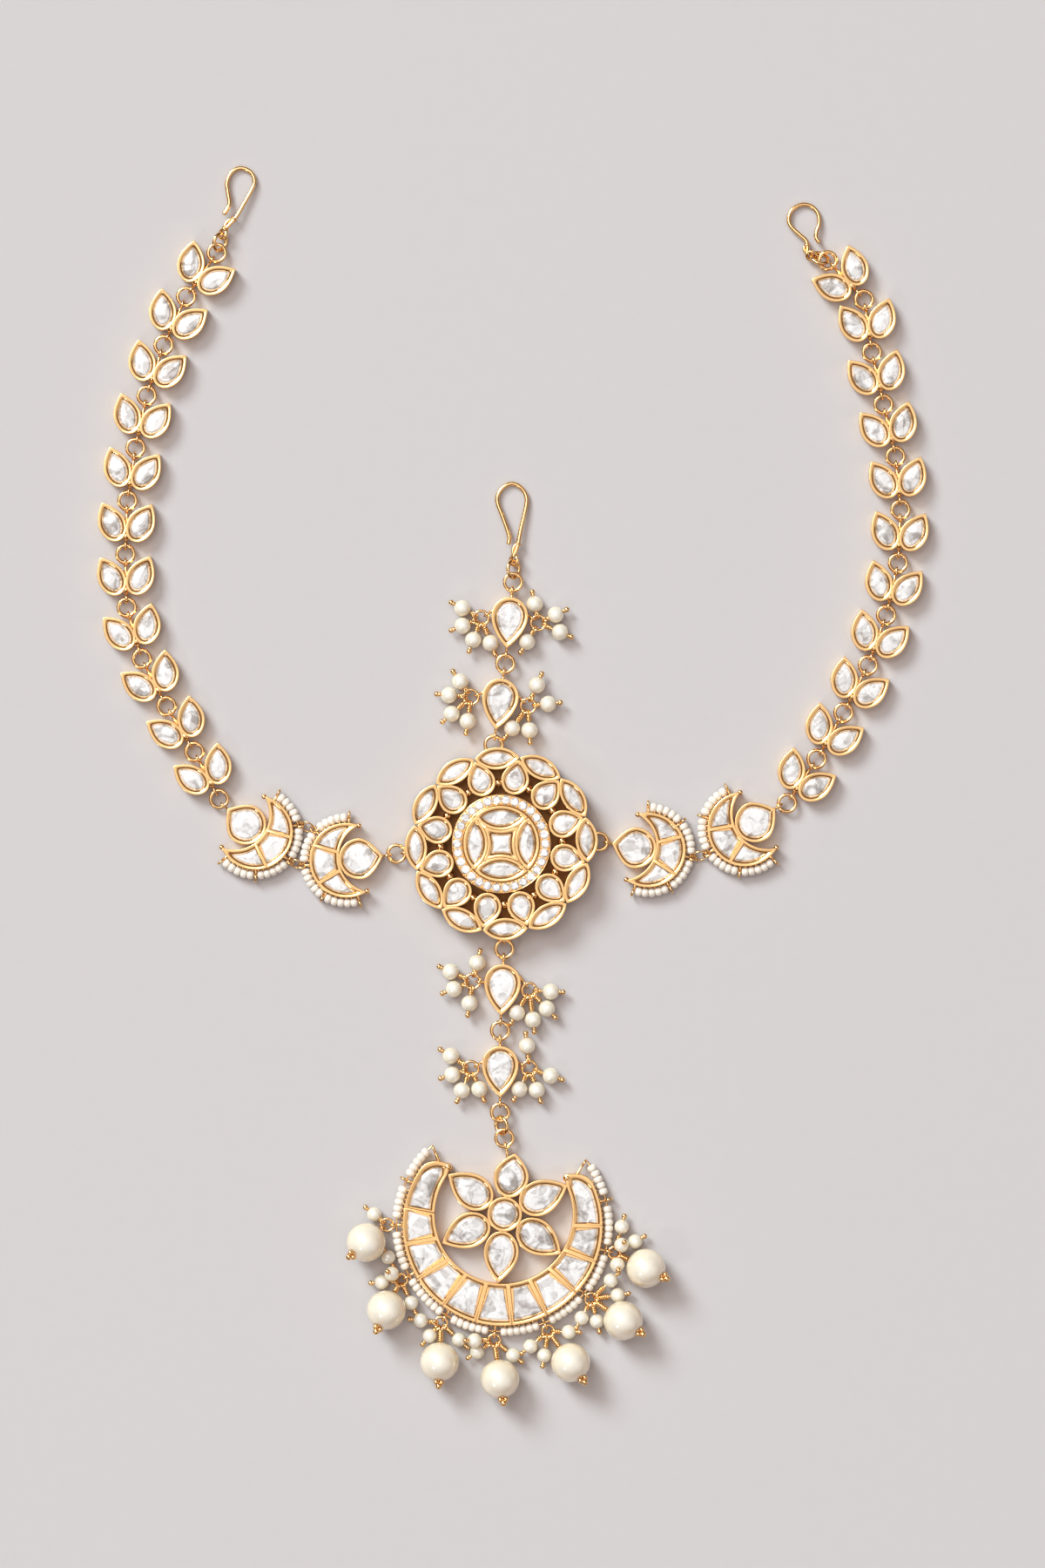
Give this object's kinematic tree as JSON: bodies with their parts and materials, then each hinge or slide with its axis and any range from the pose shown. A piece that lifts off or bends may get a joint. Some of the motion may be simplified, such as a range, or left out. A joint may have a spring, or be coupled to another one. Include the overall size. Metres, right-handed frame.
{
  "type": "mathapatti headpiece",
  "caption": "Gold-toned mathapatti headpiece: paired-leaf side chains, round stone medallion, teardrop centre chain with pearl clusters, and a crescent pendant hung with pearls.",
  "frame": {"origin": "middle of the bounding box, on the surface that the laid-out headpiece rests on", "axes": "+Y from the hanging pearls of the pendant towards the hooks, +X to the right as seen from the front, +Z out of the front, away from the surface"},
  "size_m": [0.1696, 0.2525, 0.008],
  "materials": {
    "gold_plate": "polished gold-coloured plating",
    "foiled_glass": "clear faceted glass with silver foil behind it",
    "pearl": "pearly ivory lustre",
    "seed_bead": "opaque cream glaze"
  },
  "bodies": {
    "root": {"leaf_left_1": "gold_plate", "leaf_left_2": "gold_plate", "leaf_left_3": "gold_plate", "leaf_left_4": "gold_plate", "leaf_left_5": "gold_plate", "leaf_left_6": "gold_plate", "leaf_left_7": "gold_plate", "leaf_left_8": "gold_plate", "leaf_left_9": "gold_plate", "leaf_left_10": "gold_plate", "leaf_left_11": "gold_plate", "leaf_right_1": "gold_plate", "leaf_right_2": "gold_plate", "leaf_right_3": "gold_plate", "leaf_right_4": "gold_plate", "leaf_right_5": "gold_plate", "leaf_right_6": "gold_plate", "leaf_right_7": "gold_plate", "leaf_right_8": "gold_plate", "leaf_right_9": "gold_plate", "leaf_right_10": "gold_plate", "leaf_right_11": "gold_plate", "fan_left_outer": "gold_plate", "fan_left_inner": "gold_plate", "fan_right_inner": "gold_plate", "fan_right_outer": "gold_plate", "medallion": "gold_plate", "pave_ring": "gold_plate", "drop_1": "gold_plate", "drop_2": "gold_plate", "drop_3": "gold_plate", "drop_4": "gold_plate", "pendant": "gold_plate", "big_pearl_1": "pearl", "big_pearl_2": "pearl", "big_pearl_3": "pearl", "big_pearl_4": "pearl", "big_pearl_5": "pearl", "big_pearl_6": "pearl", "big_pearl_7": "pearl", "hook_left": "gold_plate", "hook_centre": "gold_plate", "hook_right": "gold_plate", "stones_left_arm": "foiled_glass", "stones_right_arm": "foiled_glass", "stones_fans": "foiled_glass", "stones_medallion": "foiled_glass", "stones_drops": "foiled_glass", "stones_pendant": "foiled_glass", "rings_left": "gold_plate", "rings_right": "gold_plate", "rings_centre": "gold_plate", "seed_beads_left": "seed_bead", "seed_beads_right": "seed_bead", "seed_beads_pendant": "seed_bead", "cluster_pearls": "pearl", "cluster_pins": "gold_plate", "pendant_pearls": "pearl", "pendant_pins": "gold_plate"}
  },
  "joints": []
}
